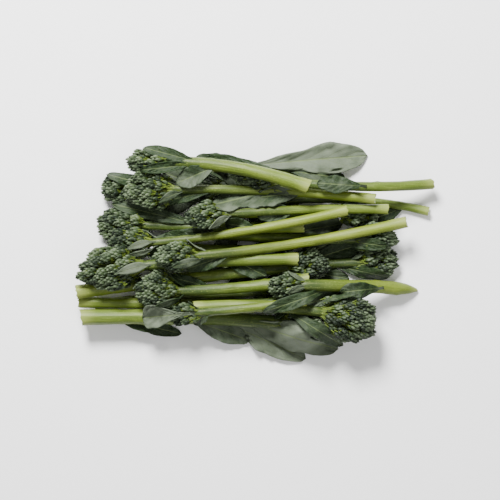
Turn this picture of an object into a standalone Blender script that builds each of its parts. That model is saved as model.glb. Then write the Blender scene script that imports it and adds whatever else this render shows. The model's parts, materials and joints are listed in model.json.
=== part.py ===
"""A bunch of broccolini: spears heaped flat on a surface, some with their heads to the left and some to the
right. Each spear is a leafy stem, which forks into short branchlets, and a head of florets that sits on them.
The spears are laid one after another, each on what is already there. Seen from above, +X is right and +Y up."""

import math
import random
from collections import namedtuple

import bmesh
import bpy
import numpy as np
from mathutils import Matrix, Vector
from mathutils.bvhtree import BVHTree

MM = 0.001

# The heap is measured on a grid of cells. GAP is what a spear keeps to those below it.
CELL = 1.0 * MM
HEAP_HALF_X = 160 * MM
HEAP_HALF_Y = 110 * MM
GAP = 0.45 * MM
# The lowest stems are pressed this far into the surface, which gives them a flat spot.
REST_FLAT = 0.5 * MM

# A spear is laid as a springy rod with this many points. SAG is its weight over its stiffness, in 1/m3.
STATIONS = 46
SAG = 9000.0
CONTACT_ROUNDS = 60
LAYING_ROUNDS = 3
SIDE_SAMPLES = np.linspace(-0.95, 0.95, 9)

# Stems. A pointed end is a slanting cut, whose tip has this share of the stem's radius.
STEM_STEP = 17 * MM
STEM_TAPER = 0.2
STEM_SIDES_RESOLUTION = 2
BUTT_SWELL = 0.05
BUTT_LENGTH = 0.08
POINT_TIP = 0.2
POINT_KNOTS = (0.3, 0.65)
CROWN_START = 0.12
CROWN_END = 0.88
CROWN_ROUND = 0.7

# Heads. Bases, spreads and depths are shares of a head's own size.
RING_FLORETS = 5
UPPER_RING = 0.4
LOWER_RING = -0.5
LOBE_DEPTH = 0.9
HEAD_BASE = 0.12
BASE_NARROWING = 0.45
BUD_HEIGHT = 1.1 * MM
FORK_SINK = 0.14
BRANCHLET_SPREAD = 0.2
BRANCHLET_RAYS = 8
BRANCHLET_RADIUS = 1.5 * MM
BRANCHLET_TIP_RADIUS = 1.1 * MM
HEAD_FLATTEN = 0.78

# Leaves
LEAF_ROWS = 7
LEAF_COLUMNS = 2
LEAF_THICK = 0.9 * MM
STALK_HALF = 1.0 * MM
STALK_SHARE = 0.16
BLADE_START = 0.10
BLADE_END = 0.90
EDGE_LIFT = 0.8 * MM
EDGE_WAVE = 0.7 * MM
WAVES_ALONG = 9
WAVES_ACROSS = 2
ARCH = 0.75 * math.pi
LEAF_FALL = 16 * MM
LEAF_ABOVE_FLOOR = 0.1 * MM
ROOT_CEILING = 0.6
DRAPE_ROUNDS = 40
DRAPE_SAMPLES = 6
DRAPE_SPEED = 1.5

SHARP_ANGLE = math.radians(35)
STEM_GREEN = (0.24, 0.32, 0.08, 1.0)
FLORET_GREEN = (0.035, 0.062, 0.026, 1.0)
STEM_ROUGHNESS = 0.45
FLORET_ROUGHNESS = 0.75

# A leaf leaves its stem at a share of the spear's length from the cut end. Its tip is a place in the plan. The
# larger lean is, the nearer to its tip it is widest. One that is over lies on its own stem.
Leaf = namedtuple("Leaf", "at tip wide rise lean over", defaults=[1.15, False])

# Plan places, lengths and widths in millimetres. bow moves the spear's middle towards +Y. point is how long a
# pointed cut end is.
Spear = namedtuple("Spear", "name cut tip bow stem head_long head_wide turn leaves point", defaults=[0])

SPEARS = [
    Spear("low_front", (-113, -38), (31, -28), 2, 4.3, 32, 19, 10, [
        Leaf(0.62, (-2, -14), 12, 0),
    ]),
    Spear("low_middle", (-124, -35), (52, -34), -2, 4.0, 33, 20, 50, []),
    Spear("low_back", (31, 33), (-112, 45), 2, 4.0, 34, 21, 30, [
        Leaf(0.62, (-105, 55), 9, 4),
        Leaf(0.44, (-80, 28), 16, 0),
        Leaf(0.34, (-66, 57), 17, 0),
        Leaf(0.26, (-36, 62), 15, 0),
        Leaf(0.40, (-2, 60), 13, 0),
        Leaf(0.10, (36, 14), 14, 0),
        Leaf(0.22, (4, 12), 13, 0),
    ]),
    Spear("back_right", (-30, 60), (52, 53), 2, 3.6, 30, 16, 80, [
        Leaf(0.14, (80, 68.5), 21, 8, 1.6),
        Leaf(0.62, (64, 52), 13, 5),
        Leaf(0.30, (-43, 66), 13, 0),
    ]),
    Spear("under_top", (62, 46), (-50, 44), 0, 3.6, 30, 22, 20, []),
    Spear("crossing", (123, 28.7), (-7, 32), 7, 3.1, 32, 17, 15, [
        Leaf(0.12, (83, 23), 12, 0),
    ]),
    Spear("right_dark", (-35, 27), (90, 27), 0, 3.4, 33, 19, 70, []),
    Spear("right_low", (-38, -13), (105, -7), 1, 3.8, 35, 21, 40, [
        Leaf(0.62, (95, -18), 9, 3),
        Leaf(0.36, (67, -19), 13, 0),
        Leaf(0.14, (10, 3), 14, 0),
        Leaf(0.46, (80, 7), 13, 0),
        Leaf(0.52, (75, -3), 12, 0),
        Leaf(0.40, (57, 8), 13, 0),
    ]),
    Spear("left_cut", (-125, -28), (56, -8), 1, 4.8, 36, 21, 65, [
        Leaf(0.56, (-60, -2), 17, -2),
        Leaf(0.50, (-14, 13), 15, -2),
        Leaf(0.42, (-76, -8), 13, -2),
    ]),
    Spear("centre", (-72, 3), (31, 1), 0, 3.4, 31, 15, 35, [
        Leaf(0.40, (8, -17), 13, 0),
    ]),
    Spear("right_high", (-45, 15), (103, 10), -3, 4.0, 35, 21, 25, [
        Leaf(0.66, (93, 4), 9, 3),
        Leaf(0.36, (62, 20), 15, 0),
    ]),
    Spear("thick", (-122, -46), (52, -53), 3, 5.5, 38, 22, 5, [
        Leaf(0.10, (-52, -58), 10, -2),
        Leaf(0.42, (-4, -63), 15, 0),
        Leaf(0.62, (59, -69), 21, 0),
        Leaf(0.55, (36, -76), 17, -2),
        Leaf(0.74, (68, -60), 12, 2),
    ]),
    Spear("left_high", (34, 18), (-114, 21), -2, 4.2, 38, 25, 70, [
        Leaf(0.44, (-101, 34), 10, 4),
        Leaf(0.32, (-76, 6), 11, 3),
    ]),
    Spear("left_middle", (38, -19), (-88, -27), -3, 4.2, 37, 25, 20, [
        Leaf(0.51, (-61, -17), 8, 3),
    ]),
    Spear("inner", (93, 30), (-52, 24), 2, 3.4, 34, 17, 35, [
        Leaf(0.42, (1, 26), 13, 3),
    ]),
    Spear("lower_right", (-42, -39), (90, -51), 6, 4.3, 48, 31, 55, [
        Leaf(0.46, (62, -66), 11, 1),
        Leaf(0.34, (33, -34), 9, 4),
        Leaf(0.50, (65, -29), 12, 1),
    ]),
    Spear("upper_left", (84, 37), (-95, 42), 4, 3.6, 42, 25, 45, [
        Leaf(0.40, (-30, 33), 15, 2),
        Leaf(0.26, (-13, 37), 16, 2),
        Leaf(0.60, (-72, 34), 8, 3),
    ]),
    Spear("top_right", (125, 48), (-22, 57), -6, 3.6, 40, 16, 75, [
        Leaf(0.32, (43, 48), 12, 3, over=True),
        Leaf(0.62, (-34, 67), 11, 6),
    ]),
    Spear("middle", (64, 29), (-106, 4), -4, 3.4, 36, 21, 60, [
        Leaf(0.36, (-21, 20), 10, 3),
        Leaf(0.58, (-64, 11), 9, 3),
    ]),
    Spear("short_shoot", (35, -34), (-64, -44), -1, 3.4, 24, 15, 12, [
        Leaf(0.70, (-79, -46), 17, 1, 2.6),
        Leaf(0.66, (-43, -51), 7, 2),
    ]),
    Spear("open_head", (30, -5), (-126, -14), 2, 4.3, 52, 29, 0, [
        Leaf(0.52, (-78, 1), 8, 3),
    ]),
    Spear("long_bright", (106, 21), (-74, -5), -4, 3.8, 38, 20, 33, [
        Leaf(0.66, (-48, -12), 11, 3),
    ]),
    Spear("pointed", (115, -27), (5, -24), 2, 4.8, 30, 17, 68, [
        Leaf(0.52, (5, -42), 10, 3),
        Leaf(0.22, (59, -28), 12, 3, over=True),
    ], 16),
    Spear("top_left", (37, 45), (-93, 62), 7, 4.8, 32, 21, 48, [
        Leaf(0.56, (-78, 73), 9, 3),
        Leaf(0.58, (-80, 57), 8, 3),
        Leaf(0.48, (-55, 48), 14, 2),
    ]),
]


def clear_scene():
    for obj in list(bpy.data.objects):
        bpy.data.objects.remove(obj)


def new_collection(name):
    collection = bpy.data.collections.new(name)
    bpy.context.scene.collection.children.link(collection)
    return collection


def plant_material(name, colour, roughness):
    material = bpy.data.materials.new(name)
    material.use_nodes = True
    shader = material.node_tree.nodes["Principled BSDF"]
    shader.inputs["Base Color"].default_value = colour
    shader.inputs["Roughness"].default_value = roughness
    shader.inputs["Metallic"].default_value = 0.0
    material.diffuse_color = colour
    return material


class Heap:
    """The height of everything laid so far, on a grid in the plan."""

    def __init__(self):
        self.columns = int(round(2 * HEAP_HALF_X / CELL)) + 1
        self.rows = int(round(2 * HEAP_HALF_Y / CELL)) + 1
        self.top = np.full((self.columns, self.rows), -REST_FLAT)

    def cell(self, x, y):
        i = int(round((x + HEAP_HALF_X) / CELL))
        j = int(round((y + HEAP_HALF_Y) / CELL))
        return min(max(i, 1), self.columns - 2), min(max(j, 1), self.rows - 2)

    def height(self, x, y):
        """The highest point within a cell of here, so that what stands on it clears its neighbours too."""
        i, j = self.cell(x, y)
        return self.top[i - 1:i + 2, j - 1:j + 2].max()

    def spread(self):
        """The whole grid, with each cell as high as the highest of its neighbours."""
        padded = np.pad(self.top, 1, constant_values=-REST_FLAT)
        shifts = [padded[a:a + self.columns, b:b + self.rows] for a in range(3) for b in range(3)]
        return np.max(shifts, axis=0)

    def add(self, bm):
        np.maximum(self.top, relief(self, bm, highest=True), out=self.top)


def relief(heap, bm, highest):
    """The upper or under side of a mesh as heights on the heap's grid."""
    best = np.maximum if highest else np.minimum
    empty = -np.inf if highest else np.inf
    found = np.full(heap.top.shape, empty)
    low = np.array([-HEAP_HALF_X, -HEAP_HALF_Y])
    for vert in bm.verts:
        i, j = heap.cell(vert.co.x, vert.co.y)
        found[i, j] = best(found[i, j], vert.co.z)
    for a, b, c in bm.calc_loop_triangles():
        corners = np.array([a.vert.co, b.vert.co, c.vert.co])
        flat = (corners[:, :2] - low) / CELL
        (u0, v0), (u1, v1) = np.floor(flat.min(0)).astype(int), np.ceil(flat.max(0)).astype(int)
        uu, vv = np.meshgrid(np.arange(u0, u1 + 1), np.arange(v0, v1 + 1), indexing="ij")
        edge_1, edge_2 = flat[1] - flat[0], flat[2] - flat[0]
        area = edge_1[0] * edge_2[1] - edge_1[1] * edge_2[0]
        if abs(area) < 1e-9:
            continue
        du, dv = uu - flat[0, 0], vv - flat[0, 1]
        s = (du * edge_2[1] - dv * edge_2[0]) / area
        t = (dv * edge_1[0] - du * edge_1[1]) / area
        inside = (s >= -0.01) & (t >= -0.01) & (s + t <= 1.01)
        heights = corners[0, 2] + s * (corners[1, 2] - corners[0, 2]) + t * (corners[2, 2] - corners[0, 2])
        at = (uu[inside], vv[inside])
        found[at] = best(found[at], heights[inside])
    return found


def plan_point(spear, t):
    """A spear's centreline in the plan, from t = 0 at the cut end to t = 1 at the head's tip."""
    cut, tip = Vector(spear.cut), Vector(spear.tip)
    along = cut.lerp(tip, t)
    return (along + Vector((0, spear.bow)) * 4 * t * (1 - t)) * MM


def spear_length(spear):
    return (Vector(spear.tip) - Vector(spear.cut)).length * MM


def fork_at(spear):
    return 1 - spear.head_long * MM / spear_length(spear)


def stem_radius(spear, t):
    radius = spear.stem * MM * (1 - STEM_TAPER * t)
    if not spear.point:
        return radius + spear.stem * MM * BUTT_SWELL * max(0.0, 1 - t / BUTT_LENGTH)
    share = min(1.0, t * spear_length(spear) / (spear.point * MM))
    return radius * (POINT_TIP + (1 - POINT_TIP) * math.sin(0.5 * math.pi * share))


def half_width(spear, t):
    """How far a spear reaches to each side of its centreline."""
    fork = fork_at(spear)
    if t <= fork:
        return stem_radius(spear, t)
    share = (t - fork) / (1 - fork)
    along = CROWN_START + (CROWN_END - CROWN_START) * share
    crown = 0.5 * spear.head_wide * MM * math.sin(math.pi * along) ** CROWN_ROUND
    return max(stem_radius(spear, fork), crown)


def stations_of(spear):
    return np.linspace(0, 1, STATIONS)


def needed_heights(spear, heap):
    """How high the centreline has to be at each station for the spear to clear the heap below it."""
    across = (Vector(spear.tip) - Vector(spear.cut)).orthogonal().normalized()
    needed = []
    for t in stations_of(spear):
        centre, reach = plan_point(spear, t), half_width(spear, t)
        thick = HEAD_FLATTEN if t > fork_at(spear) else 1.0
        heights = []
        for side in SIDE_SAMPLES:
            spot = centre + across * reach * side
            heights.append(heap.height(spot.x, spot.y) + thick * reach * math.sqrt(1 - side * side))
        needed.append(max(heights) + GAP)
    return np.array(needed)


def settled(spear, needed):
    """The heights of a springy rod that sags onto the needed heights under its own weight."""
    step = spear_length(spear) / (STATIONS - 1)
    bends = np.diff(np.eye(STATIONS), 2, axis=0) / step ** 2
    stiffness = bends.T @ bends
    slack = SAG * np.eye(STATIONS)
    touching = np.ones(STATIONS, bool)
    for _ in range(CONTACT_ROUNDS):
        heights, free = needed.copy(), ~touching
        if free.any():
            pull = -SAG - stiffness[np.ix_(free, touching)] @ needed[touching]
            heights[free] = np.linalg.solve((stiffness + slack)[np.ix_(free, free)], pull)
        push = stiffness @ heights + SAG
        now = (touching & (push > 0)) | (heights < needed)
        if (now == touching).all():
            break
        touching = now
    return heights + max(0.0, float((needed - heights).max()))


def tube(points, radii, sides_resolution):
    """A closed mesh round a line, from a curve with filled ends."""
    data = bpy.data.curves.new("tube", "CURVE")
    data.dimensions = "3D"
    data.bevel_depth = 1.0
    data.bevel_resolution = sides_resolution
    data.use_fill_caps = True
    spline = data.splines.new("POLY")
    spline.points.add(len(points) - 1)
    for knot, point, radius in zip(spline.points, points, radii):
        knot.co = (*point, 1)
        knot.radius = radius
    guide = bpy.data.objects.new("tube", data)
    bpy.context.scene.collection.objects.link(guide)
    graph = bpy.context.evaluated_depsgraph_get()
    mesh = bpy.data.meshes.new_from_object(guide.evaluated_get(graph))
    bpy.data.objects.remove(guide)
    bm = bmesh.new()
    bm.from_mesh(mesh)
    bpy.data.meshes.remove(mesh)
    bmesh.ops.remove_doubles(bm, verts=bm.verts, dist=1e-6)
    return bm


def head_frame(spear, height):
    """The head's own axes: +Z from the fork to the tip, +X to the side and +Y up."""
    fork = fork_at(spear)
    start = Vector((*plan_point(spear, fork), height(fork)))
    axis = (Vector((*plan_point(spear, 1), height(1))) - start).normalized()
    side = Vector((0, 0, 1)).cross(axis).normalized()
    up = axis.cross(side)
    turn = Matrix((side, up, axis)).transposed().to_4x4()
    return Matrix.Translation(start) @ turn


def floret_ways(spear, rise):
    """The directions of a ring of florets, seen from the head's middle."""
    ways = []
    for k in range(RING_FLORETS):
        angle = math.radians(spear.turn) + (k + rise) * math.tau / RING_FLORETS
        ways.append(Vector((math.cos(angle), math.sin(angle), rise)).normalized())
    return ways


def head_piece(spear):
    """The head in its own axes: a crown with a lobe for each floret. Each face is poked into one bud."""
    bm = bmesh.new()
    bmesh.ops.create_icosphere(bm, subdivisions=2, radius=1.0)
    half_wide = 0.5 * spear.head_wide * MM - BUD_HEIGHT
    half_long = 0.5 * (1 - HEAD_BASE) * spear.head_long * MM - BUD_HEIGHT
    middle = 0.5 * (1 + HEAD_BASE) * spear.head_long * MM
    ends = [Vector((0, 0, 1)), Vector((0, 0, -1))]
    ways = [*ends, *floret_ways(spear, UPPER_RING), *floret_ways(spear, LOWER_RING)]
    for vert in bm.verts:
        way = vert.co.normalized()
        lobe = 1 - LOBE_DEPTH * (1 - max(way.dot(floret) for floret in ways))
        across = half_wide * lobe * (1 - BASE_NARROWING * max(0.0, -way.z))
        vert.co = (across * way.x, HEAD_FLATTEN * across * way.y, middle + half_long * lobe * way.z)
    bmesh.ops.poke(bm, faces=bm.faces, offset=BUD_HEIGHT)
    return bm


def branchlets(spear, frame, head):
    """Short twigs from the fork to just below the head: one in the middle, and one for each ring floret."""
    surface = BVHTree.FromBMesh(head)
    root = frame @ Vector((0, 0, -FORK_SINK * spear.head_long * MM))
    reach = BRANCHLET_SPREAD * spear.head_wide * MM
    twigs = []
    for way in [Vector((0, 0, 1)), *floret_ways(spear, UPPER_RING)]:
        aim = frame @ Vector((reach * way.x, reach * way.y, 0.5 * spear.head_long * MM))
        along = (aim - root).normalized()
        edge = along.orthogonal().normalized() * BRANCHLET_RADIUS
        turns = [Matrix.Rotation(k * math.tau / BRANCHLET_RAYS, 3, along) for k in range(BRANCHLET_RAYS)]
        starts = [root + turn @ edge for turn in turns]
        length = min(surface.ray_cast(start, along)[3] for start in [root, *starts]) - GAP
        points = [root, root + along * length]
        twigs.append(tube(points, [BRANCHLET_RADIUS, BRANCHLET_TIP_RADIUS], 0))
    return twigs


def stem_piece(spear, height):
    fork, length = fork_at(spear), spear_length(spear)
    shares = list(np.linspace(0, fork, 1 + math.ceil(fork * length / STEM_STEP)))
    shares = sorted(shares + [knot * spear.point * MM / length for knot in POINT_KNOTS if spear.point])
    points = [(*plan_point(spear, t), height(t)) for t in shares]
    return tube(points, [stem_radius(spear, t) for t in shares], STEM_SIDES_RESOLUTION)


def leaf_half_width(leaf, u):
    """A leaf's outline: a narrow stalk, then a blade that is widest past its middle, with a round tip."""
    if u < STALK_SHARE:
        return STALK_HALF
    share = (u - STALK_SHARE) / (1 - STALK_SHARE)
    along = BLADE_START + (BLADE_END - BLADE_START) * share
    return max(STALK_HALF, 0.5 * leaf.wide * MM * math.sin(math.pi * along ** leaf.lean))


def leaf_piece(spear, leaf, height, heap, seed):
    """A thin blade that leaves the stem's middle and is draped over the heap."""
    draw = random.Random(seed)
    bm = bmesh.new()
    bmesh.ops.create_grid(bm, x_segments=LEAF_ROWS, y_segments=LEAF_COLUMNS, size=0.5)
    bmesh.ops.triangulate(bm, faces=bm.faces, quad_method="FIXED")
    root, tip = plan_point(spear, leaf.at), Vector(leaf.tip) * MM
    way = tip - root
    across = way.orthogonal().normalized()
    wave_at = draw.uniform(0, math.tau)
    root_height = height(leaf.at)
    ceilings = []
    for vert in bm.verts:
        u, v = vert.co.x + 0.5, 2 * vert.co.y
        spot = root + way * u + across * v * leaf_half_width(leaf, u)
        blade = min(1.0, u / (2 * STALK_SHARE))
        wave = EDGE_WAVE * math.sin(wave_at + WAVES_ALONG * u + WAVES_ACROSS * v)
        edge = max(0.0, abs(v) * blade * (EDGE_LIFT + wave))
        arch = leaf.rise * MM * math.sin(ARCH * u) - LEAF_FALL * u ** 2
        vert.co = (spot.x, spot.y, root_height + arch + edge)
        ceilings.append(math.inf if u > 0 else root_height + ROOT_CEILING * stem_radius(spear, leaf.at))
    drape(bm, np.array(ceilings), heap)
    shell = bmesh.ops.extrude_face_region(bm, geom=bm.faces[:])
    raised = [item for item in shell["geom"] if isinstance(item, bmesh.types.BMVert)]
    bmesh.ops.translate(bm, vec=(0, 0, LEAF_THICK), verts=raised)
    bmesh.ops.recalc_face_normals(bm, faces=bm.faces)
    return bm


def drape(bm, ceilings, heap):
    """Lifts a sheet's points until all of it is clear of the heap. The ceilings keep its root in the stem."""
    n = DRAPE_SAMPLES
    shares = [(i / n, j / n, (n - i - j) / n) for i in range(n + 1) for j in range(n + 1 - i)]
    weights = np.zeros((len(bm.faces) * len(shares), len(bm.verts)))
    rows = iter(weights)
    for face in bm.faces:
        corners = [vert.index for vert in face.verts]
        for share in shares:
            next(rows)[corners] = share
    points = np.array([vert.co for vert in bm.verts])
    spots = weights @ points
    cells = np.array([heap.cell(x, y) for x, y, _ in spots])
    floor = np.maximum(heap.spread()[cells[:, 0], cells[:, 1]] + GAP, LEAF_ABOVE_FLOOR)
    heights = points[:, 2]
    for _ in range(DRAPE_ROUNDS):
        short = floor - weights @ heights
        lifts = short[:, None] * np.minimum(1, DRAPE_SPEED * weights)
        heights = np.minimum(heights + np.maximum(0, lifts.max(axis=0)), ceilings)
    for vert, z in zip(bm.verts, heights):
        vert.co.z = z


def joined(pieces, name, material, collection):
    """One object from overlapping closed pieces, by one union on a collection."""
    helpers = new_collection("pieces_of_" + name)
    objects = []
    for bm in pieces:
        mesh = bpy.data.meshes.new(name)
        bm.to_mesh(mesh)
        bm.free()
        piece = bpy.data.objects.new(name, mesh)
        (helpers if objects else collection).objects.link(piece)
        objects.append(piece)
    whole = objects[0]
    if len(objects) == 1:
        bpy.data.collections.remove(helpers)
        whole.data.materials.append(material)
        return whole
    union = whole.modifiers.new("union", "BOOLEAN")
    union.operation = "UNION"
    union.operand_type = "COLLECTION"
    union.solver = "EXACT"
    union.collection = helpers
    bpy.context.view_layer.update()
    graph = bpy.context.evaluated_depsgraph_get()
    mesh = bpy.data.meshes.new_from_object(whole.evaluated_get(graph))
    for piece in objects:
        bpy.data.objects.remove(piece)
    bpy.data.collections.remove(helpers)
    mesh.materials.clear()
    mesh.materials.append(material)
    mesh.name = name
    result = bpy.data.objects.new(name, mesh)
    collection.objects.link(result)
    return result


def rest_on_floor(obj):
    """Cuts the flat spot that a plant pressed on a surface has."""
    bm = bmesh.new()
    bm.from_mesh(obj.data)
    if min(vert.co.z for vert in bm.verts) < 0:
        geometry = [*bm.verts, *bm.edges, *bm.faces]
        cut = bmesh.ops.bisect_plane(
            bm, geom=geometry, plane_co=(0, 0, 0), plane_no=(0, 0, 1), clear_inner=True, dist=1e-7)
        rim = [item for item in cut["geom_cut"] if isinstance(item, bmesh.types.BMEdge)]
        bmesh.ops.holes_fill(bm, edges=rim, sides=0)
        bmesh.ops.recalc_face_normals(bm, faces=bm.faces)
        bm.to_mesh(obj.data)
    bm.free()


def shortages(spear, pieces, heap):
    """How far the pieces are below their clearance from the heap, at the nearest station of each place."""
    under = heap.spread()
    stations = stations_of(spear)
    line = np.array([plan_point(spear, t) for t in stations])
    short = np.full(len(stations), -np.inf)
    for piece in pieces:
        gap = relief(heap, piece, highest=False) - under
        i, j = np.nonzero(np.isfinite(gap))
        places = np.column_stack([i * CELL - HEAP_HALF_X, j * CELL - HEAP_HALF_Y])
        nearest = ((places[:, None, :] - line[None, :, :]) ** 2).sum(axis=2).argmin(axis=1)
        np.maximum.at(short, nearest, GAP - gap[i, j])
    return short


def spear_pieces(spear, heights):
    """The bare stem with its branchlets, and the head, along a centreline of these heights."""
    def height(t):
        return float(np.interp(t, stations_of(spear), heights))

    frame = head_frame(spear, height)
    head = head_piece(spear)
    bmesh.ops.transform(head, matrix=frame, verts=head.verts)
    stem = [stem_piece(spear, height), *branchlets(spear, frame, head)]
    return stem, head, height


def lay_spear(number, spear, heap, collection, materials):
    needed = needed_heights(spear, heap)
    for _ in range(LAYING_ROUNDS):
        heights = settled(spear, needed)
        stem, head, height = spear_pieces(spear, heights)
        short = shortages(spear, [*stem, head], heap)
        needed = np.where(np.isfinite(short), heights + short, needed)
    lift = float(short.max())
    for piece in [*stem, head]:
        bmesh.ops.translate(piece, vec=(0, 0, lift), verts=piece.verts)
    heap.add(head)
    leaves = []
    for over in (False, True):
        leaves += [leaf_piece(spear, leaf, lambda t: height(t) + lift, heap, 100 * number + k)
                   for k, leaf in enumerate(spear.leaves) if leaf.over == over]
        for piece in leaves if over else stem:
            heap.add(piece)
    name = f"spear_{number:02d}_{spear.name}"
    leafy_stem = joined([*stem, *leaves], name + "_stem", materials["stem"], collection)
    florets = joined([head], name + "_head", materials["head"], collection)
    for obj in (leafy_stem, florets):
        rest_on_floor(obj)
        obj.data.shade_smooth()
        obj.data.set_sharp_from_angle(angle=SHARP_ANGLE)
    return [leafy_stem, florets]


def centre_on_origin(objects):
    """Moves the heap so that the origin is below the middle of its outer box."""
    points = np.array([v.co for obj in objects for v in obj.data.vertices])
    middle = (points.min(0) + points.max(0)) / 2
    for obj in objects:
        obj.data.transform(Matrix.Translation((-middle[0], -middle[1], 0)))


def main():
    clear_scene()
    collection = new_collection("broccolini_bunch")
    materials = {
        "stem": plant_material("stem_green", STEM_GREEN, STEM_ROUGHNESS),
        "head": plant_material("floret_green", FLORET_GREEN, FLORET_ROUGHNESS),
    }
    heap = Heap()
    objects = []
    for number, spear in enumerate(SPEARS, start=1):
        objects += lay_spear(number, spear, heap, collection, materials)
    centre_on_origin(objects)


main()
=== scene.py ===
# %% [markdown]
# A bunch of broccolini lies heaped flat on a pale surface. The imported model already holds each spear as
# plain solids: a leafy stem and a head. This script dresses them. Every spear gets a fine stem with a
# real cut end, leaves with veins, and a head made of hundreds of separate buds on little stalks. First
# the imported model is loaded, and its box is kept, because the dressed bunch has to stay the same size.

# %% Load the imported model
import json
import math
import random
from collections import namedtuple

import bmesh
import bpy
from mathutils import Matrix, Vector, noise
from mathutils.bvhtree import BVHTree

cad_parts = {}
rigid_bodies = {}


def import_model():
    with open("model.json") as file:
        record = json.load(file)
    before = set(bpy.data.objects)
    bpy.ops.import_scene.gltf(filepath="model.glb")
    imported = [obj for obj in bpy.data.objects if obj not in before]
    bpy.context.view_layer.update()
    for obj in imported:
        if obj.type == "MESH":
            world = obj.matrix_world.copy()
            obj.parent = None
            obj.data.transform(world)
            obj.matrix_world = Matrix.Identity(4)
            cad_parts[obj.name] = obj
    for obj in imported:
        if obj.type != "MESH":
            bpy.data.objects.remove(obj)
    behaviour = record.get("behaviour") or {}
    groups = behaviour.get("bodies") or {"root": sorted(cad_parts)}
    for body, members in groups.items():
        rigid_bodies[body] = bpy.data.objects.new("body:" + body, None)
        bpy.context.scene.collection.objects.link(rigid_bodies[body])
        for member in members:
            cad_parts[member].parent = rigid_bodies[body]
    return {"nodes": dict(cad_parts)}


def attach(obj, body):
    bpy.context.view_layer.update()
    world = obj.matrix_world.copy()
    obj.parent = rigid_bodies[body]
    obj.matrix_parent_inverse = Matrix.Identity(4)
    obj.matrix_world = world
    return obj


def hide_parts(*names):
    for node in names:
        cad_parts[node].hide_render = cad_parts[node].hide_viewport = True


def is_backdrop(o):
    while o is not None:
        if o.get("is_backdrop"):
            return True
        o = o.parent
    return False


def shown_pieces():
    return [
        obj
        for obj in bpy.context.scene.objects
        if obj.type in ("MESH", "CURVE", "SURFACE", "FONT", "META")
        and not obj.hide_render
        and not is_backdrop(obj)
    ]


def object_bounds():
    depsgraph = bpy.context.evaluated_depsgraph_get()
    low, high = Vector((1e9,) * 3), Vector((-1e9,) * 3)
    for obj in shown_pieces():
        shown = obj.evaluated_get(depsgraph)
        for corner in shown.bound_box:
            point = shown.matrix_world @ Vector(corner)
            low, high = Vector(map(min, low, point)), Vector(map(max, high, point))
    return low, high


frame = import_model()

MM = 0.001
cad_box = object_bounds()


def in_mm(rows):
    """Rows of numbers in millimetres, for printing."""
    return [[round(x / MM, 1) for x in row] for row in rows]


print("packed model:", in_mm(cad_box), "mm")

# %% [markdown]
# The spears lie where the plan says, as seen from above: where each is cut, where its head ends, how far
# its middle bows, how thick its stem is, how long and wide its head is, how bright its green is, and how
# many buds it needs, because a head that the others hide can have fewer. A leaf leaves the stem at a
# share of the spear's length, and its tip has a place in the plan. The larger lean is, the nearer to its
# tip a leaf is widest. point is how long a cut end tapers, where a slanting knife left a point. The
# solids were laid out from this same plan, in millimetres. Their heights aren't written down here,
# because they can be read off the solids themselves.

# %% The plan of the heap
PLAN_MIDDLE = Vector((0.046, -1.049)) * MM

Leaf = namedtuple("Leaf", "at tip wide lean", defaults=[1.15])
SPEAR_FACTS = "name cut tip bow stem head_long head_wide bright buds leaves point"
Spear = namedtuple("Spear", SPEAR_FACTS, defaults=[0])

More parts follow.
